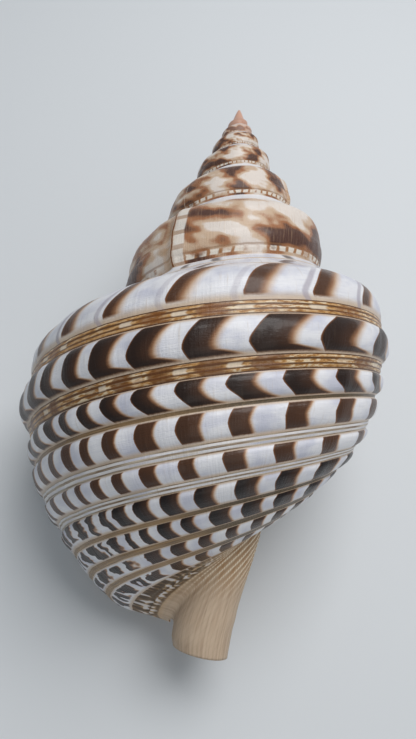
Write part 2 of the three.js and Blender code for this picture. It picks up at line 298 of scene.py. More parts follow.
def outer_radius(theta, height, relief=True):
    g = growth(theta)
    eta = height / g
    whorl = g * curve(OUTLINE, eta) * swell(theta, eta) + flare(theta, eta)
    pillar = curve(PILLAR, height)
    if relief:
        whorl = whorl + g * (cords(theta, eta) + varix(theta, eta) + wrinkles(theta, eta))
    own = smooth(COVER_HEIGHT, COVER_HEIGHT + 12, eta)
    based = mix(whorl, soft_max(whorl, pillar, 6), own)
    shut = smooth(JOIN_HEIGHT - 7, JOIN_HEIGHT, height) * own
    radius = mix(based, pillar, shut)
    if relief:
        radius = radius + g * foot_cords(theta, height, radius)
    return radius


def place(radius, height, theta):
    """Shell axis along -Y from the apex; the angle runs from the back to the left."""
    a = theta + math.radians(LIP_ANGLE)
    radius, height, a = np.broadcast_arrays(radius, height, a)
    lean = CANAL_LEAN * smooth(LEAN_FROM, TIP_HEIGHT, height)
    lean = lean + SPIRE_LEAN * clamp(1 - height / SPIRE_LEAN_TO) ** 1.3
    radius = radius * (1 - SPIRE_SLIM * (1 - smooth(55, 78, height)))
    aside = -radius * np.sin(a)
    slant = END_SLANT * smooth(JOIN_HEIGHT, TIP_HEIGHT, height)
    return np.stack([lean + aside, -height - aside * slant, radius * np.cos(a)], -1)


# ---- Marks ---------------------------------------------------------------
STEADY_SPACING = 20.0     # degrees


def count_marks():
    """Marks counted back from the lip, for each degree of growth."""
    angle = np.arange(-TURNS * 360, 1.0)
    pace = 1 / np.interp(angle, *np.array(SPACING).T)
    ahead = np.concatenate([(pace[1:] + pace[:-1])[::-1].cumsum()[::-1] / 2, [0]])
    return angle, ahead


COUNT_ANGLE, COUNT_AHEAD = count_marks()


def mark_place(band, theta, across):
    """Counts marks backwards along a band; a mark's front edge is at each whole number."""
    degrees = np.degrees(theta)
    counted = np.interp(degrees, COUNT_ANGLE, COUNT_AHEAD)
    above = clamp((band.tip - across) / band.tip)
    below = clamp((across - band.tip) / (1 - band.tip))
    lean = band.top_lean * above**1.5 + band.foot_lean * below**1.5
    return band.phase + band.crowd * counted - band.steady * degrees / STEADY_SPACING - lean


def mark_reach(band, across):
    return band.reach * (1 + band.tail * smooth(0.84, 0.97, across))


# ---- Grid ----------------------------------------------------------------
def band_rows(first, last):
    """Row heights and the band of each strip between rows, from one height to another."""
    rows, owner = [first], []
    for n, band in enumerate(BANDS):
        if band.low >= first - 1e-6 and band.high <= last + 1e-6:
            rows += [mix(band.low, band.high, (k + 1) / band.rows) for k in range(band.rows)]
            owner += [n] * band.rows
    return np.array(rows), owner


SPIRE_ROWS, SPIRE_BANDS = band_rows(TOP_HEIGHT, COVER_HEIGHT)
BASE_ROWS, BASE_BANDS = band_rows(COVER_HEIGHT, FOOT_HEIGHT)
COVER = len(SPIRE_ROWS) - 1
JOIN = COVER + len(BASE_BANDS) + FOOT_ROWS
LAST = JOIN + CANAL_ROWS
ROW_BANDS = SPIRE_BANDS + BASE_BANDS + [len(BANDS)] * (FOOT_ROWS + CANAL_ROWS)


def way_along(r, h):
    """Distance along a profile to each of its points."""
    return np.concatenate([[0], np.cumsum(np.hypot(np.diff(r), np.diff(h)))])


def foot_rows(theta):
    """Rows below the cords, evenly spaced down the foot of the whorl and the pillar."""
    h = np.linspace(float(growth(theta)) * BASE_ROWS[-1], JOIN_HEIGHT, 160)
    reach = way_along(outer_radius(theta, h, relief=False), h)
    return np.interp(np.linspace(0, reach[-1], FOOT_ROWS + 1)[1:], reach, h)


def row_heights(theta, whole):
    g = float(growth(theta))
    if not whole:
        return SPIRE_ROWS * g
    canal = np.linspace(JOIN_HEIGHT, TIP_HEIGHT, CANAL_ROWS + 1)[1:]
    return np.concatenate([SPIRE_ROWS * g, BASE_ROWS[1:] * g, foot_rows(theta), canal])


class Surface:
    """Collects points and faces with the spiral coordinates of each face corner."""

    def __init__(self):
        self.points, self.faces, self.corners, self.facts = [], [], [], []

    def add(self, points):
        start = len(self.points)
        self.points.extend(np.asarray(points).reshape(-1, 3).tolist())
        return np.arange(start, len(self.points))

    def face(self, corners, band, slot):
        """Each corner is a point, then its turn, its place along and its spot in the texture."""
        self.faces.append([int(corner[0]) for corner in corners])
        self.corners.extend(corner[1:] for corner in corners)
        self.facts.append((band, slot))

    def patch(self, points, where, band, slot):
        """A face with the same turn, place and spot at each of its corners."""
        self.face([(point, *where) for point in points], band, slot)

    def fan(self, loop, middle, where, band, slot):
        """Close a loop with triangles to one point."""
        for a, b in zip(np.roll(loop, -1), loop):
            self.patch((a, b, middle), where, band, slot)


# Places in the baked texture: first and last u, first and last v, by turn back from the lip
ATLAS = (
    (0.002, 0.998, 0.002, 0.400), (0.002, 0.600, 0.405, 0.520), (0.606, 0.998, 0.405, 0.520),
    (0.002, 0.270, 0.525, 0.580), (0.276, 0.450, 0.525, 0.580), (0.456, 0.570, 0.525, 0.580),
    (0.576, 0.650, 0.525, 0.580),
)
HOLLOW_ATLAS = (0.002, 0.998, 0.590, 0.996)


def atlas_spot(place_, across, down):
    u0, u1, v0, v1 = place_
    return (float(mix(u0, u1, across)), float(mix(v0, v1, down)))


def skin(surface):
    steps = TURNS * FINE
    middle_from = (TURNS - FINE_TURNS) * FINE
    coarse_to = middle_from - MIDDLE_TURNS * FINE
    grid, heights = {}, {}
    for j in range(steps + 1):
        step = 4 if j < coarse_to else 2 if j < middle_from else 1
        if j % step:
            continue
        theta = (j - steps) * 2 * math.pi / FINE
        h = row_heights(theta, j >= steps - FINE)
        ids = surface.add(place(outer_radius(theta, h), h, theta))
        inner = grid.get(j - FINE)
        if inner is not None:
            ids[0] = inner[COVER]
        if j == steps:
            ids[JOIN:] = inner[JOIN:]
        grid[j], heights[j] = ids, h / growth(theta)
    columns = sorted(grid)
    for j0, j1 in zip(columns, columns[1:]):
        turn = min(TURNS - 1, (steps - j1) // FINE)
        full = LAST if turn == 0 else COVER
        thetas = {j: (j - steps) * 2 * math.pi / FINE for j in (j0, j1)}
        across = {j: 1 + turn + (j - steps) / FINE for j in (j0, j1)}
        between = grid.get((j0 + j1) // 2 + FINE) if j1 - j0 > 1 else None
        for i in range(min(len(grid[j0]), len(grid[j1])) - 1):
            corners = [(grid[j][k], thetas[j], heights[j][k],
                        atlas_spot(ATLAS[turn], across[j], k / full))
                       for j, k in ((j0, i), (j1, i), (j1, i + 1), (j0, i + 1))]
            splits = ((0, 1, 2, 3),)
            if i == COVER - 1 and between is not None:
                middle = atlas_spot(ATLAS[turn], sum(across.values()) / 2, (i + 1) / full)
                corners.append((between[0], sum(thetas.values()) / 2, corners[2][2], middle))
                splits = ((0, 1, 4), (0, 4, 3), (1, 2, 4))
            for picks in splits:
                surface.face([corners[k] for k in picks], ROW_BANDS[i], SKIN_SLOT)
    # Rounded point of the apex
    apex = surface.add(place(0.0, APEX_HEIGHT, 0.0))[0]
    loop = [grid[0][i] for i in range(COVER, 0, -1)]
    loop = [grid[j][0] for j in columns if j < FINE] + loop
    where = (-TURNS * 2 * math.pi, TOP_HEIGHT, atlas_spot(ATLAS[-1], 0.0, 0.0))
    ring = np.array(surface.points)[loop]
    point = np.array(surface.points)[apex]
    for down, out in ((0.7, 0.76), (0.42, 0.53), (0.18, 0.3), (0.05, 0.15)):
        dome = point + (ring - point) * [out, down, out]
        inner_loop = surface.add(dome)
        for k in range(len(loop)):
            m = (k + 1) % len(loop)
            surface.patch((loop[m], loop[k], inner_loop[k], inner_loop[m]), where, 0, SKIN_SLOT)
        loop = inner_loop
    surface.fan(loop, apex, where, 0, SKIN_SLOT)
    # End of the canal
    tip = surface.add([(CANAL_LEAN, -TIP_HEIGHT, 0)])[0]
    for j in range(steps - FINE, steps):
        spot = atlas_spot(ATLAS[0], (j - steps + FINE) / FINE, 1.0)
        surface.patch((grid[j][LAST], grid[j + 1][LAST], tip),
                      (-math.pi, heights[steps][LAST], spot), len(BANDS), SKIN_SLOT)
    return grid[steps], grid[steps - FINE]


# ---- Mouth and chamber ---------------------------------------------------
WALL, GLAZE = 4.2, 1.6                    # wall at the lip, and callus on the inner side
CORNER_TOP, CORNER_FOOT = 0.1, 0.93       # shares of the mouth at its solid corners
RIM_ROWS = 7
TOOTH_PITCH, FOLD_PITCH = 8.5, 6.0


def plain_outer(theta, eta):
    whorl = curve(OUTLINE, eta) * swell(theta, eta) + flare(theta, eta)
    own = smooth(COVER_HEIGHT, COVER_HEIGHT + 12, eta)
    return mix(whorl, soft_max(whorl, curve(PILLAR, eta), 6), own)


def by_share(r, h):
    reach = way_along(r, h)
    return (lambda p: np.interp(p * reach[-1], reach, r),
            lambda p: np.interp(p * reach[-1], reach, h), reach[-1])


LIP_H = row_heights(0.0, True)[:JOIN + 1]
BACK_H = row_heights(-2 * math.pi, True)[COVER:JOIN + 1]
_, LIP_HEIGHT, LIP_LENGTH = by_share(plain_outer(0.0, LIP_H), LIP_H)
BACK_R, BACK_HEIGHT, BACK_LENGTH = by_share(
    outer_radius(-2 * math.pi, BACK_H, relief=False), BACK_H)


def teeth(share, theta):
    """Pairs of short ridges just inside the outer lip."""
    x = share * LIP_LENGTH / TOOTH_PITCH
    pair = 0.5 + 0.5 * np.cos(2 * math.pi * x * 2)
    gap = smooth(0.16, 0.3, 0.5 - np.abs((x + 0.25) % 1 - 0.5))
    near = smooth(-0.30, -0.20, theta) * (1 - smooth(-0.10, -0.02, theta))
    return 2.4 * pair**1.2 * gap * near * smooth(0.08, 0.2, share) * (1 - smooth(0.86, 0.95, share))


def folds(share, theta):
    """Low wrinkles across the inner side of the mouth."""
    x = share * BACK_LENGTH / FOLD_PITCH + 0.35 * wave(theta * 6, 11)
    near = smooth(-1.1, -0.7, theta)
    return 0.9 * (0.5 + 0.5 * np.cos(2 * math.pi * x)) ** 1.6 * near * smooth(0.12, 0.25, share)


def hollow_side(side, share, theta):
    """Outline of the hollow on the lip side or the inner side, at the lip's size."""
    p = mix(CORNER_TOP, CORNER_FOOT, share)
    eta = LIP_HEIGHT(p)
    outside = np.stack([plain_outer(theta, eta), eta], -1)
    inside = np.stack([BACK_R(p), BACK_HEIGHT(p)], -1)
    gap = np.hypot(*(outside - inside).T)
    corner = 0.5 * (1 - smooth(0, 0.16, share) * (1 - smooth(0.86, 1, share)))
    depth = WALL + teeth(share, theta) if side > 0 else GLAZE + folds(share, theta)
    f = np.minimum(0.5, np.maximum(depth / gap, corner))[:, None]
    return mix(outside, inside, f) if side > 0 else mix(inside, outside, f)


def hollow_loop(surface, theta, shrink=0.0):
    g = float(growth(theta))
    back = JOIN - COVER
    lip = hollow_side(1, np.arange(JOIN + 1) / JOIN, theta)
    inner = hollow_side(-1, np.arange(back - 1, 0, -1) / back, theta)
    loop = np.concatenate([lip, inner]) * g
    loop = mix(loop, loop.mean(0), shrink)
    return surface.add(place(loop[:, 0], loop[:, 1], theta))


def hollow(surface, lip, back):
    """Rounded lip, then the chamber running back inside the whorls."""
    edge = np.concatenate([lip[:JOIN + 1], back[JOIN - 1:COVER:-1]])
    inner_count = JOIN - COVER
    share = np.concatenate([np.arange(JOIN + 1) / JOIN,
                            2 - np.arange(inner_count - 1, 0, -1) / inner_count])
    first = -0.03
    angles = [first]
    while angles[-1] > -2 * 2 * math.pi:
        angles.append(angles[-1] - math.radians(1.6 if angles[-1] > -0.45
                                                else 5.5 if angles[-1] > -3.5 else 9.0))
    # The rim bulges forwards between the outside edge and the first loop of the chamber
    ring0 = hollow_loop(surface, first)
    start = np.array(surface.points)[edge]
    stop = np.array(surface.points)[ring0]
    lip = math.radians(LIP_ANGLE)
    forward = np.array([-math.cos(lip), 0.0, -math.sin(lip)])
    lip_side = np.where(share <= 1, smooth(0, 0.1, share) * (1 - smooth(0.93, 1, share)), 0.0)
    rings, spots = [edge], [0.0]
    for k in range(1, RIM_ROWS):
        v = k / RIM_ROWS
        turn = (1 - math.cos(math.pi * v)) / 2
        bulge = 0.55 * WALL * math.sin(math.pi * v) * lip_side
        rings.append(surface.add(mix(start, stop, turn) + bulge[:, None] * forward))
        spots.append(v * 0.02)
    rings.append(ring0)
    spots.append(0.02)
    thetas = [0.0] * RIM_ROWS + [first]
    for n, theta in enumerate(angles[1:]):
        rings.append(hollow_loop(surface, theta, 0.45 if n == len(angles) - 2 else 0.0))
        thetas.append(theta)
        spots.append(0.02 + 0.98 * (theta / angles[-1]) ** 0.7)
    count = len(edge)
    for n in range(len(rings) - 1):
        for k in range(count):
            m = (k + 1) % count
            s0, s1 = share[k], 2.0 if m == 0 else share[m]
            places = ((n, m, s1), (n, k, s0), (n + 1, k, s0), (n + 1, m, s1))
            surface.face([(rings[i][c], thetas[i], s, atlas_spot(HOLLOW_ATLAS, spots[i], s / 2))
                          for i, c, s in places], -1, HOLLOW_SLOT)
    end = surface.add([np.array(surface.points)[rings[-1]].mean(0)])[0]
    where = (thetas[-1], 0.5, atlas_spot(HOLLOW_ATLAS, 1.0, 0.5))
    surface.fan(rings[-1], end, where, -1, HOLLOW_SLOT)


def corner_values(surface):
    """Place across the band, mark count, mark length and distance to a resting stage."""
    theta, along = np.array([corner[:2] for corner in surface.corners], float).T
    sides = np.array([len(f) for f in surface.faces])
    owner = np.repeat([band for band, _ in surface.facts], sides)
    across, mark, reach = (np.zeros(len(theta)) for _ in range(3))
    for n, band in enumerate(BANDS):
        here = owner == n
        t = clamp((along[here] - band.low) / (band.high - band.low))
        across[here] = t
        mark[here] = mark_place(band, theta[here], t)
        reach[here] = mark_reach(band, t)
    foot = owner == len(BANDS)
    height = along[foot] * growth(theta[foot])
    across[foot] = foot_reach(theta[foot], height, outer_radius(theta[foot], height, relief=False))
    return {"turn": theta, "along": along, "across": across, "mark": mark, "reach": reach,
            "after": after_varix(theta, along)}


def make_shell_mesh():
    surface = Surface()
    lip, back = skin(surface)
    hollow(surface, lip, back)
    points = np.array(surface.points)
    used = np.unique(np.concatenate([np.array(f) for f in surface.faces]))
    renumber = np.zeros(len(points), int)
    renumber[used] = np.arange(len(used))
    faces = [[int(renumber[i]) for i in f] for f in surface.faces]
    mesh = bpy.data.meshes.new("triton_shell")
    mesh.from_pydata((points[used] * MM).tolist(), [], faces)
    owner = np.array([band for band, _ in surface.facts])
    by_face = {"band": owner}
    for name, beyond in (("kind", FOOT), ("shade", 0.0), ("soft", 0.0)):
        values = [getattr(band, name) for band in BANDS] + [beyond, beyond]
        by_face[name] = np.array(values)[owner]
    for domain, table in (("CORNER", corner_values(surface)), ("FACE", by_face)):
        for name, values in table.items():
            data = mesh.attributes.new(name, "FLOAT", domain).data
            data.foreach_set("value", values.astype(np.float32))
    bake = mesh.uv_layers.new(name="OFBake")
    bake.data.foreach_set("uv", np.array([c[2] for c in surface.corners], np.float32).ravel())
    mesh.polygons.foreach_set("material_index", np.array([m for _, m in surface.facts], np.int32))
    mesh.polygons.foreach_set("use_smooth", np.ones(len(faces), bool))
    mesh.update()
    return mesh


# ---- Canal ---------------------------------------------------------------
CANAL_FACE = 200.0                        # way the open side of the canal looks
CHANNEL_HEAD, CHANNEL_END = 5.6, 4.6      # radius of the channel at either end
SLIT_HEAD, SLIT_END = 4.8, 3.6            # half width of its open side
SLIT_DEPTH = 34.0
CANAL_ATLAS = (0.66, 0.998, 0.525, 0.580)


def channel_cutter():
    """Channel and open side of the siphonal canal, as one closed mesh."""
    face = math.radians(CANAL_FACE)
    look = Vector((-math.sin(face), 0, math.cos(face)))
    head = Vector(place(21.0, 270.0, 0.0).tolist())
    end = Vector((CANAL_LEAN, -TIP_HEIGHT - 8, 0))
    balls = bmesh.new()
    for at, channel, slit in ((head, CHANNEL_HEAD, SLIT_HEAD), (end, CHANNEL_END, SLIT_END)):
        for out, radius in ((0.0, channel), (2.0, channel), (SLIT_DEPTH, slit)):
            bmesh.ops.create_icosphere(balls, subdivisions=3, radius=radius,
                                       matrix=Matrix.Translation(at + look * out))
    bm = bmesh.new()
    for vert in balls.verts:
        bm.verts.new(vert.co)
    balls.free()
    bmesh.ops.convex_hull(bm, input=bm.verts)
    bmesh.ops.delete(bm, geom=[v for v in bm.verts if not v.link_faces], context="VERTS")
    spots = bm.loops.layers.uv.new("OFBake")
    u0, u1, v0, v1 = CANAL_ATLAS
    for f in bm.faces:
        f.smooth = True
        f.material_index = CANAL_SLOT
        for loop in f.loops:
            x = (loop.vert.co - head).dot(look) / 50
            y = (loop.vert.co.y - head.y) / 50
            loop[spots].uv = (mix(u0, u1, clamp(-y)), mix(v0, v1, clamp(x)))
    cutter = bpy.data.meshes.new("canal_cutter")
    bm.to_mesh(cutter)
    bm.free()
    cutter.transform(Matrix.Scale(MM, 4))
    return cutter


def open_canal(piece):
    """Cut the canal into the shell and keep the cut's edge crisp."""
    collection = bpy.context.scene.collection
    cutter = bpy.data.objects.new("canal_cutter", channel_cutter())
    collection.objects.link(cutter)
    cut = piece.modifiers.new("canal", "BOOLEAN")
    cut.object, cut.operation, cut.solver = cutter, "DIFFERENCE", "MANIFOLD"
    cut.material_mode = "INDEX"
    graph = bpy.context.evaluated_depsgraph_get()
    made = bpy.data.meshes.new_from_object(piece.evaluated_get(graph), depsgraph=graph)
    if not any(face.material_index == CANAL_SLOT for face in made.polygons):
        raise RuntimeError("the canal was not cut")
    piece.modifiers.clear()
    bpy.data.objects.remove(cutter)
    bm = bmesh.new()
    bm.from_mesh(made)
    for edge in bm.edges:
        indices = {f.material_index for f in edge.link_faces}
        edge.smooth = not (len(indices) > 1 and CANAL_SLOT in indices)
    bm.to_mesh(made)
    bm.free()
    piece.data = made


# ---- Materials -----------------------------------------------------------
class Nodes:
    """Small helper for wiring shader nodes."""

    def __init__(self, name):
        self.material = bpy.data.materials.new(name)
        self.material.use_nodes = True
        self.tree = self.material.node_tree
        self.tree.nodes.clear()

    def new(self, kind, **values):
        node = self.tree.nodes.new(kind)
        for key, value in values.items():
            setattr(node, key, value)
        return node

    def put(self, socket, value):
        if isinstance(value, bpy.types.NodeSocket):
            self.tree.links.new(value, socket)
        else:
            socket.default_value = value

    def math(self, operation, a, b=0.0, c=0.0):
        node = self.new("ShaderNodeMath", operation=operation)
        for socket, value in zip(node.inputs, (a, b, c)):
            self.put(socket, value)
        return node.outputs[0]

    def add(self, a, b):
        return self.math("ADD", a, b)

    def sub(self, a, b):
        return self.math("SUBTRACT", a, b)

    def mul(self, *factors):
        product = factors[0]
        for factor in factors[1:]:
            product = self.math("MULTIPLY", product, factor)
        return product

    def cos(self, x):
        return self.math("COSINE", x)

    def step(self, low, high, x):
        """Smooth step from 0 at low to 1 at high; falls where high is below low."""
        node = self.new("ShaderNodeMapRange", interpolation_type="SMOOTHSTEP")
        flip = isinstance(low, (int, float)) and isinstance(high, (int, float)) and low > high
        values = (x, high, low, 1.0, 0.0) if flip else (x, low, high, 0.0, 1.0)
        for socket, value in zip(node.inputs, values):
            self.put(socket, value)
        return node.outputs[0]

    def between(self, low, high, edge, x):
        """1 between low and high, fading out over edge on either side."""
        return self.mul(self.step(low - edge, low, x), self.step(high + edge, high, x))

    def is_kind(self, kind, which):
        return self.math("COMPARE", kind, float(which), 0.1)

    def blend(self, a, b, factor):
        node = self.new("ShaderNodeMix", data_type="RGBA")
        self.put(node.inputs["Factor"], factor)
        self.put(node.inputs["A"], a)
        self.put(node.inputs["B"], b)
        return node.outputs["Result"]

    def layers(self, base, *coats):
        """Lay one tone after another over a base, each by the product of its shares."""
        for tone, *shares in coats:
            base = self.blend(base, tone, self.mul(*shares))
        return base

    def attribute(self, name):
        return self.new("ShaderNodeAttribute", attribute_name=name).outputs["Fac"]

    def combine(self, x, y, z=0.0):
        node = self.new("ShaderNodeCombineXYZ")
        for socket, value in zip(node.inputs, (x, y, z)):
            self.put(socket, value)
        return node.outputs[0]

    def noise(self, x, y, z=0.0, detail=2.0, rough=0.5):
        node = self.new("ShaderNodeTexNoise")
        self.put(node.inputs["Vector"], self.combine(x, y, z))
        node.inputs["Scale"].default_value = 1.0
        node.inputs["Detail"].default_value = detail
        node.inputs["Roughness"].default_value = rough
        return node.outputs["Fac"]

    def random(self, x, y, z=0.0):
        node = self.new("ShaderNodeTexWhiteNoise", noise_dimensions="3D")
        self.put(node.inputs["Vector"], self.combine(x, y, z))
        return node.outputs["Value"]

    def bump(self, height, distance, strength, normal=None):
        node = self.new("ShaderNodeBump")
        node.inputs["Strength"].default_value = strength
        node.inputs["Distance"].default_value = distance
        self.put(node.inputs["Height"], height)
        if normal is not None:
            self.put(node.inputs["Normal"], normal)
        return node.outputs["Normal"]

    def finish(self, base, rough, coat, normal):
        shader = self.new("ShaderNodeBsdfPrincipled")
        self.put(shader.inputs["Base Color"], base)
        self.put(shader.inputs["Roughness"], rough)
        self.put(shader.inputs["Coat Weight"], coat)
        shader.inputs["Coat Roughness"].default_value = 0.18
        shader.inputs["IOR"].default_value = 1.45
        shader.inputs["Specular IOR Level"].default_value = 0.3
        self.put(shader.inputs["Normal"], normal)
        self.show(shader)
        return self.material

    def show(self, shader):
        out = self.new("ShaderNodeOutputMaterial")
        self.tree.links.new(shader.outputs[0], out.inputs["Surface"])


def colour(red, green, blue):
    """Display colour, 0 to 255, as linear light."""
    def linear(c):
        c /= 255
        return c / 12.92 if c <= 0.04045 else ((c + 0.055) / 1.055) ** 2.4
    return (linear(red), linear(green), linear(blue), 1.0)


CREAM, TAN, GOLD = colour(230, 214, 192), colour(201, 160, 112), colour(190, 140, 80)
RUST, UMBER, OLIVE = colour(136, 80, 34), colour(92, 58, 36), colour(112, 95, 72)
# The cords' ground and the threads between them
HAZE, LAVENDER, DUSK = colour(158, 148, 160), colour(202, 202, 214), colour(190, 190, 206)
BUFF, SIDE_SHADE, SEPIA_AND_SHADE = colour(206, 186, 164), colour(198, 168, 132), colour(84, 56, 38)
BARK_AND_SHADE, STRAW, SYRUP = colour(98, 66, 38), colour(228, 206, 172), colour(120, 76, 36)
DRAB, PALE_DRAB = colour(118, 92, 64), colour(176, 160, 138)
RIB, RIB_SHADE = colour(176, 142, 100), colour(116, 94, 70)
# Fasciole and canal
CARAMEL, ASH, FURROW = colour(182, 142, 100), colour(126, 112, 96), colour(128, 98, 68)
PEARL, MOSS, FAWN = colour(250, 238, 216), colour(112, 88, 62), colour(186, 156, 118)
BONE, OLD_BONE = colour(204, 182, 158), colour(180, 156, 134)
# Spire
SPIRE_CREAM, SAND, COPPER = colour(230, 218, 208), colour(202, 170, 138), colour(160, 104, 66)
COCOA, BISCUIT, HAZEL = colour(78, 50, 42), colour(214, 176, 140), colour(150, 104, 66)
MILK, CHALK, CLAY = colour(232, 222, 208), colour(236, 228, 218), colour(170, 130, 96)
NUT, AMBER, PINK = colour(168, 120, 80), colour(206, 152, 98), colour(206, 160, 138)
# Mouth
APRICOT, SHELL_PINK = colour(214, 140, 96), colour(240, 214, 190)

BEADS = 110.0             # beads in a turn of a fine cord
SQUARE = 13.0             # spacing of the pale squares along a resting stage
FIRST_CORD = 2            # its place in BANDS


class Skin:
    """The patterned outside: one colour for each kind of band, chosen by the band's kind."""

    def __init__(self, n, settings):
        self.n = n
        self.white, self.dark, self.foot_tan = map(
            tuple, (settings.ground_colour, settings.mark_colour, settings.foot_colour))
        self.turn, self.along, self.across = map(n.attribute, ("turn", "along", "across"))
        self.reach, self.after = map(n.attribute, ("reach", "after"))
        self.band, self.kind = map(n.attribute, ("band", "kind"))
        self.shade, self.soft = map(n.attribute, ("shade", "soft"))
        self.degrees = n.mul(self.turn, 180 / math.pi)
        self.height = n.mul(self.along, n.math("EXPONENT", n.mul(self.turn, RATE)))
        self.patchy = self.grain(5.0, 0.09, 1.0)
        self.fine = self.grain(70.0, 1.6, 2.0)
        self.striae = self.grain(5.0, 5.0, 3.0)
        self.growth = self.grain(75.0, 0.07, 4.0)
        self.ragged = n.sub(self.fine, 0.5)
        # The lowest cords' marks are the most broken near the lip
        self.broken = n.mul(n.step(248.0, 256.0, self.along), n.step(-85.0, -55.0, self.degrees))
        wobble = n.sub(self.grain(6.0, 0.09, 5.0, 0.0), 0.5)
        jumble = n.sub(self.grain(11.0, 0.4, 6.0, 1.0), 0.5)
        sway = n.add(n.mul(wobble, n.add(0.1, n.mul(self.broken, 0.9))),
                     n.mul(jumble, self.broken, 0.9))
        # Which mark this is, and the place along it: 0 at its front edge
        counted = n.add(n.attribute("mark"), sway)
        cell = n.math("FLOOR", counted)
        self.behind = n.math("FRACT", counted)
        self.luck, self.other_luck = n.random(cell, self.band), n.random(cell, self.band, 5.0)

    def grain(self, round_scale, down_scale, seed, detail=3.0, rough=0.5):
        """Noise that follows the coil."""
        n = self.n
        return n.noise(n.mul(self.turn, round_scale), n.mul(self.along, down_scale),
                       seed, detail, rough)

    def crests(self, count):
        """1 on each of so many crests side by side across the band, -1 between them."""
        n = self.n
        return n.cos(n.add(n.mul(self.across, 2 * math.pi * count), math.pi))

    def ground(self):
        n = self.n
        # Tan towards both sides of each band: painted shade where the band meets the grooves beside
        # it.
        sides = n.add(n.step(0.14, 0.0, self.across), n.step(0.84, 1.0, self.across))
        return n.layers(
            self.white,
            (LAVENDER, n.step(0.4, 0.7, self.patchy)),
            (BUFF, n.step(0.55, 0.78, self.growth), 0.3),
            (DUSK, n.step(0.5, 0.72, self.striae), 0.35),
            (SIDE_SHADE, sides, 0.8))

    def cord(self, ground):
        """Crescent marks: a crisp front edge with a thin rusty rim, and a soft back edge."""
        n, behind = self.n, self.behind
        spread = n.add(n.mul(n.sub(self.luck, 0.5), n.add(0.28, n.mul(self.broken, 0.5))), 1.0)
        reach = n.mul(self.reach, spread)
        past = n.sub(n.add(behind, n.mul(self.ragged, 0.02)), reach)
        past = n.math("DIVIDE", past, n.add(0.3, n.mul(self.soft, 0.9)))
        inset = n.add(n.mul(n.sub(1.0, self.shade), 0.07),
                      n.mul(self.broken, self.other_luck, 0.16))
        side = n.math("MINIMUM", self.across, n.sub(1.0, self.across))
        side = n.sub(n.add(side, n.mul(self.ragged, 0.03)), inset)
        shown = n.mul(n.step(0.0, 0.022, behind), n.step(0.0, 0.07, side))
        depth = n.math("DIVIDE", behind, n.math("MAXIMUM", reach, 0.05))
        brown = n.layers(
            UMBER,
            (self.dark, n.math("MAXIMUM", self.shade, self.broken)),
            (UMBER, n.step(0.3, 1.1, depth), 0.5),
            (HAZE, n.step(0.6, 0.8, self.striae), 0.06))
        # Lavender smudge a little way in front of each mark of the first cord
        smudge = n.mul(n.is_kind(self.band, FIRST_CORD),
                       n.between(0.09, 0.14, 0.045, n.sub(1.0, behind)),
                       n.step(0.1, 0.45, self.across), n.add(0.3, n.mul(self.luck, 0.5)))
        return n.layers(
            ground,
            (TAN, n.step(0.16, 0.0, past), shown, 0.8),
            (RUST, n.step(0.08, -0.03, past), shown, 0.8),
            (brown, n.step(0.03, -0.09, past), shown),
            (RUST, n.step(0.05, 0.0, behind), shown, 0.85),
            (HAZE, smudge))

    def thread(self):
        """Golden threads, granular, with broken brown dashes and a few white ones."""
        n, behind = self.n, self.behind
        grain = self.grain(22.0, 1.1, 12.0, 3.0, 0.6)
        pale = n.mul(n.step(0.46, 0.6, grain), n.add(0.35, n.step(0.62, 0.4, self.patchy)))
        dash = n.mul(n.step(0.0, 0.08, behind), n.step(0.12, -0.12, n.sub(behind, self.reach)))
        gap = n.mul(n.between(0.66, 0.86, 0.06, behind), n.step(0.35, 0.6, self.luck))
        # Dark bark between the threads and sepia along both edges of the band: partly the band's
        # own dark lines, partly painted shade in the grooves.
        edge = n.add(n.step(0.14, 0.03, self.across), n.step(0.86, 0.97, self.across))
        return n.layers(
            BARK_AND_SHADE,
            (n.blend(GOLD, STRAW, pale), n.step(-0.75, 0.25, self.crests(3))),
            (SYRUP, n.step(0.5, 0.34, grain), 0.7),
            (n.blend(RUST, self.dark, n.mul(self.shade, 0.55)),
             dash, n.step(0.15, 0.75, self.other_luck), 0.75),
            (CREAM, n.between(0.42, 0.58, 0.12, self.across), gap, 0.8),
            (SEPIA_AND_SHADE, edge, 0.9))

    def pale_thread(self, ground):
        """Whitish threads with thin olive lines between them."""
        n = self.n
        return n.layers(
            DRAB,
            (PALE_DRAB, n.step(0.35, 0.7, self.patchy)),
            (ground, n.step(-0.6, 0.5, self.crests(2))),
            (CREAM, n.step(0.45, 0.6, self.striae), 0.5))

    def groove(self):
        """Olive grooves that turn to tan ribs near the lip."""
        n = self.n
        rib = n.blend(RIB, RIB_SHADE, n.step(0.3, 0.7, self.striae))
        return n.layers(
            OLIVE,
            (self.dark, n.step(0.35, 0.6, self.fine), 0.35),
            (rib, n.step(-115.0, -84.0, self.degrees)))

    def ribbon(self, ground):
        """White border under the suture, with a dark streak here and there."""
        n, behind = self.n, self.behind
        streak = n.mul(n.step(0.0, 0.1, behind), n.step(0.1, -0.1, n.sub(behind, self.reach)),
                       n.step(0.45, 0.6, self.other_luck), n.between(0.3, 0.8, 0.2, self.across))
        return n.layers(ground, (n.blend(UMBER, self.dark, self.shade), streak, 0.8))

    def foot(self):
        """Tan fasciole with thin beaded cream cords, ashy towards the body, worn at the end."""
        n, height = self.n, self.height
        ribs = self.crests(1 / FOOT_CORD)
        beads = n.step(-0.7, 0.5, n.cos(n.mul(self.turn, BEADS)))
        thin = n.mul(n.step(0.45, 0.85, ribs), n.step(276.0, 256.0, height))
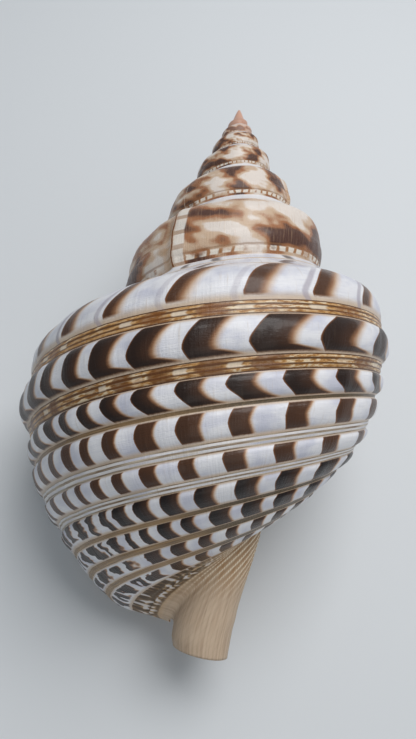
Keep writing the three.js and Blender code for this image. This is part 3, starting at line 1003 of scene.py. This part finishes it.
        # Curved ribs with dark blots where the foot of the last whorl turns to the lip
        near = n.mul(n.step(-115.0, -80.0, self.degrees), n.step(16.0, 9.0, self.across))
        spots = n.noise(n.mul(self.turn, 15.0), n.mul(self.across, 0.22), 13.0, 0.5)
        upper = n.step(11.0, 8.0, self.across)
        blotted = n.layers(
            MOSS,
            (FAWN, n.step(-0.6, 0.4, ribs)),
            (self.white, n.step(0.46, 0.4, spots), upper, 0.8),
            (self.dark, n.step(0.5, 0.57, spots), upper, 0.9))
        scratches = n.noise(n.mul(self.turn, 14.0), n.mul(height, 0.05), 7.0, 4.0)
        worn = n.blend(BONE, OLD_BONE, n.step(0.4, 0.7, scratches))
        return n.layers(
            self.foot_tan,
            (CARAMEL, n.step(0.42, 0.62, self.patchy)),
            (ASH, n.step(256.0, 222.0, height), 0.85),
            (FURROW, n.step(-0.3, -0.95, ribs), 0.4),
            (PEARL, thin, n.add(0.25, n.mul(beads, 0.75))),
            (blotted, near, 0.85),
            (worn, n.step(250.0, 272.0, height), n.sub(1.0, near), 0.85))

    def spire(self, last):
        """Older whorls: soft rusty flames on pinkish cream, crimped above the suture."""
        n, turn, along = self.n, self.turn, self.along
        slant = n.add(n.mul(turn, 2.0), n.mul(along, 0.012))
        flame = n.noise(slant, n.mul(along, 0.034), 14.0, 2.5)
        flame = n.add(flame, n.mul(self.ragged, 0.05))
        flames = n.layers(
            SPIRE_CREAM,
            (SAND, n.step(0.42, 0.47, flame), 0.85),
            (COPPER, n.step(0.475, 0.53, flame), 0.95),
            (COCOA, n.step(0.53, 0.60, flame), 0.95),
            (BISCUIT, n.step(0.5, 0.75, self.growth), 0.25),
            (self.ribbon(self.white), n.step(149.0, 146.0, along)))
        crimp = n.cos(n.add(n.mul(turn, float(CRIMPS)), n.mul(self.patchy, 5.0)))
        tick = n.layers(
            MILK,
            (NUT, n.step(-0.2, -0.9, crimp)),
            (flames, n.step(0.45, 0.6, self.patchy), 0.85))
        # A resting stage: pale squares, a thin dark line, then fine tan ribs
        squares = n.cos(n.mul(along, 2 * math.pi / SQUARE))
        block = n.blend(CHALK, CLAY, n.mul(n.step(0.5, 0.8, squares), 0.7))
        shown = n.mul(n.between(-5.5, -0.6, 0.8, self.after), n.step(150.0, 154.0, along))
        ribs = n.blend(AMBER, CREAM, n.step(0.45, 0.62, self.striae))
        here = n.layers(
            flames,
            (tick, n.between(202.5, 205.5, 0.9, along)),
            (HAZEL, n.between(200.4, 201.2, 0.6, along), 0.5),
            (block, shown, 0.85),
            (ribs, n.between(0.4, 5.0, 2.5, self.after), 0.6),
            (RUST, n.between(-0.3, 0.3, 0.3, self.after)),
            (PINK, n.step(-1750.0, -2150.0, self.degrees)))
        return n.blend(last, here, n.step(-345.0, -395.0, self.degrees))


def skin_material(settings):
    n = Nodes("shell_skin")
    skin_ = Skin(n, settings)
    ground = skin_.ground()
    kinds = ((CORD, skin_.cord(ground)), (THREAD, skin_.thread()), (GROOVE, skin_.groove()),
             (PALE_THREAD, skin_.pale_thread(ground)), (FOOT, skin_.foot()))
    out = n.layers(skin_.ribbon(ground),
                   *((tone, n.is_kind(skin_.kind, kind)) for kind, tone in kinds))
    out = n.layers(skin_.spire(out), (OLIVE, n.step(0.6, 0.85, skin_.growth), 0.18))
    matt = n.is_kind(skin_.kind, FOOT)
    rough = n.add(n.add(0.27, n.mul(skin_.fine, 0.16)), n.mul(matt, 0.2))
    coat = n.mul(n.sub(1.0, n.mul(matt, 0.7)), 0.22)
    normal = n.bump(skin_.growth, 0.0005, 0.45)
    normal = n.bump(skin_.striae, 0.0004, 0.4, normal)
    normal = n.bump(skin_.fine, 0.0003, 0.35, normal)
    return n.finish(out, rough, coat, normal)


def hollow_material(settings):
    n = Nodes("shell_hollow")
    turn, along = n.attribute("turn"), n.attribute("along")
    wander = n.noise(n.mul(turn, 5.0), n.mul(along, 9.0), 0.0, 3.0)
    inside = n.layers(
        tuple(settings.mouth_colour),
        (APRICOT, n.step(-0.1, -1.6, turn)),
        (SHELL_PINK, n.step(0.4, 0.7, wander), 0.5))
    # Brown blotches between the teeth of the lip, and dark wrinkles on the inner side
    pairs = n.add(n.mul(along, LIP_LENGTH / TOOTH_PITCH), 0.25)
    pairs = n.cos(n.mul(pairs, 2 * math.pi))
    lip = n.layers(inside, (UMBER, n.step(0.45, 0.75, pairs), n.step(-0.34, -0.22, turn), 0.9))
    inward = n.sub(2.0, along)
    groove = n.cos(n.mul(inward, BACK_LENGTH / FOLD_PITCH * 2 * math.pi))
    inner = n.layers(inside, (UMBER, n.step(0.1, -0.6, groove), n.step(-0.9, -0.5, turn),
                              n.step(0.25, 0.45, inward), 0.8))
    base = n.blend(inner, lip, n.math("LESS_THAN", along, 1.0))
    return n.finish(base, 0.22, 0.6, n.bump(wander, 0.001, 0.25))


def canal_material(settings):
    n = Nodes("shell_canal")
    grain = n.new("ShaderNodeTexNoise")
    n.put(grain.inputs["Vector"], n.new("ShaderNodeTexCoord").outputs["Object"])
    grain.inputs["Scale"].default_value = 220.0
    mottle = grain.outputs["Fac"]
    base = n.blend(tuple(settings.mouth_colour), TAN, n.step(0.35, 0.7, mottle))
    return n.finish(base, 0.38, 0.3, n.bump(mottle, 0.0004, 0.4))


# ---- Scene ---------------------------------------------------------------
FLOOR = 4.0
VIEW_FROM = (-5.1, -228.8, 261.4)      # camera in the shell's own frame, mm from the apex
VIEW_AT = (-12.3, -160.3, 0.0)
VIEW_ROLL = 1.06                       # degrees
SENSOR = 24.0
LONG_SIDE_LENS = 522.6 / 739.0         # focal length as a share of the picture's long side


def rest_turn():
    return (Matrix.Rotation(math.radians(PITCH), 4, "X")
            @ Matrix.Rotation(math.radians(ROLL), 4, "Y"))


def rest_shift(mesh):
    """Centre the turned mesh on the frame's box and stand it on the ground."""
    co = np.empty(len(mesh.vertices) * 3)
    mesh.vertices.foreach_get("co", co)
    co = co.reshape(-1, 3)
    low, high = co.min(0), co.max(0)
    box_low, box_high = np.array(CAD_BOX)
    centre = (box_low + box_high) / 2
    return Vector((centre[0] - (low[0] + high[0]) / 2, centre[1] - (low[1] + high[1]) / 2,
                   box_low[2] - low[2]))


def tint(name, text, rgb):
    return bpy.props.FloatVectorProperty(name=name, description=text, subtype="COLOR", size=4,
                                         min=0.0, max=1.0, default=colour(*rgb))


class ShellSettings(bpy.types.PropertyGroup):
    ground_colour: tint("Ground", "Colour of the cords between their marks", (233, 231, 233))
    mark_colour: tint("Marks", "Colour of the darkest marks", (27, 17, 14))
    foot_colour: tint("Foot", "Colour of the fine cords that run onto the canal", (198, 168, 136))
    mouth_colour: tint("Mouth", "Colour just inside the lip", (236, 196, 160))
    floor_size: bpy.props.FloatProperty(
        name="Floor size", description="Side of the square floor", default=FLOOR,
        unit="LENGTH", subtype="DISTANCE")
    key_power: bpy.props.FloatProperty(
        name="Key power", description="Power of the large soft light overhead", default=11.5,
        unit="POWER")
    fill_power: bpy.props.FloatProperty(
        name="Fill power", description="Power of the soft light from the canal's side",
        default=1.8, unit="POWER")
    sky: bpy.props.FloatProperty(
        name="Sky", description="Strength of the even light from all round", default=0.25)


class SHELL_OT_build(bpy.types.Operator):
    """Build the shell with its skin, lip, chamber and canal"""
    bl_idname = "shell.build"
    bl_label = "Build shell"

    def execute(self, context):
        settings = context.scene.shell_settings
        piece = bpy.data.objects.new("triton_shell", make_shell_mesh())
        context.scene.collection.objects.link(piece)
        for made in (skin_material(settings), hollow_material(settings), canal_material(settings)):
            piece.data.materials.append(made)
        open_canal(piece)
        piece.data.transform(rest_turn())
        shift = rest_shift(piece.data)
        piece.data.transform(Matrix.Translation(shift))
        context.scene["rest_shift"] = list(shift)
        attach(piece, "root")
        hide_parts("shell")
        return {"FINISHED"}


def area_light(name, at, target, size, power, tone=(1, 1, 1)):
    data = bpy.data.lights.new(name, "AREA")
    data.shape = "RECTANGLE"
    data.size, data.size_y = size
    data.energy = power
    data.color = tone
    lamp = bpy.data.objects.new(name, data)
    lamp.location = at
    lamp.rotation_euler = (Vector(target) - Vector(at)).to_track_quat("-Z", "Y").to_euler()
    bpy.context.scene.collection.objects.link(lamp)


def view_camera(shift):
    """Camera set in the shell's own frame, its right side square to the shell's axis."""
    start, aim = Vector(VIEW_FROM), Vector(VIEW_AT)
    ahead = (aim - start).normalized()
    right = ahead.cross(Vector((0, 1, 0))).normalized()
    up = right.cross(ahead)
    roll = math.radians(VIEW_ROLL)
    right, up = (math.cos(roll) * right + math.sin(roll) * up,
                 math.cos(roll) * up - math.sin(roll) * right)
    facing = Matrix((right, up, -ahead)).transposed().to_4x4()
    data = bpy.data.cameras.new("camera")
    data.sensor_fit = "VERTICAL"
    data.sensor_height = SENSOR
    data.lens = SENSOR * LONG_SIDE_LENS
    data.clip_start = 0.01
    camera = bpy.data.objects.new("camera", data)
    camera.matrix_world = (Matrix.Translation(shift) @ rest_turn()
                           @ Matrix.Translation(start * MM) @ facing)
    return camera


class SHELL_OT_stage(bpy.types.Operator):
    """Set up the floor, the soft lights and the camera"""
    bl_idname = "shell.stage"
    bl_label = "Set the stage"

    def execute(self, context):
        scene = context.scene
        settings = scene.shell_settings
        half = settings.floor_size / 2
        floor_mesh = bpy.data.meshes.new("floor")
        floor_mesh.from_pydata([(-half, -half, 0), (half, -half, 0), (half, half, 0),
                                (-half, half, 0)], [], [(0, 1, 2, 3)])
        n = Nodes("floor")
        shader = n.new("ShaderNodeBsdfPrincipled")
        shader.inputs["Base Color"].default_value = colour(214, 216, 218)
        shader.inputs["Roughness"].default_value = 0.7
        n.show(shader)
        floor_mesh.materials.append(n.material)
        floor = bpy.data.objects.new("floor", floor_mesh)
        scene.collection.objects.link(floor)

        world = bpy.data.worlds.new("studio")
        world.use_nodes = True
        sky = world.node_tree.nodes["Background"]
        sky.inputs["Color"].default_value = (0.78, 0.9, 1, 1)
        sky.inputs["Strength"].default_value = settings.sky
        scene.world = world
        scene.view_settings.view_transform = "Standard"
        area_light("key", (0.35, 0.4, 1.1), (0, 0, 0.06), (0.9, 0.7), settings.key_power)
        area_light("fill", (0.2, -0.9, 0.7), (0, 0, 0.05), (0.8, 0.8), settings.fill_power,
                   (1, 0.97, 0.93))
        camera = view_camera(Vector(scene["rest_shift"]))
        scene.collection.objects.link(camera)
        scene.camera = camera
        return {"FINISHED"}


class SHELL_PT_panel(bpy.types.Panel):
    bl_label = "Triton Shell"
    bl_space_type = "VIEW_3D"
    bl_region_type = "UI"
    bl_category = "Shell"

    def draw(self, context):
        layout = self.layout
        for name in ShellSettings.__annotations__:
            layout.prop(context.scene.shell_settings, name)
        layout.operator(SHELL_OT_build.bl_idname)
        layout.operator(SHELL_OT_stage.bl_idname)


CLASSES = (ShellSettings, SHELL_OT_build, SHELL_OT_stage, SHELL_PT_panel)


def register():
    for cls in CLASSES:
        bpy.utils.register_class(cls)
    bpy.types.Scene.shell_settings = bpy.props.PointerProperty(type=ShellSettings)


def unregister():
    del bpy.types.Scene.shell_settings
    for cls in reversed(CLASSES):
        bpy.utils.unregister_class(cls)


def main():
    register()
    bpy.ops.shell.build()
    bpy.ops.shell.stage()


if __name__ == "__main__":
    main()
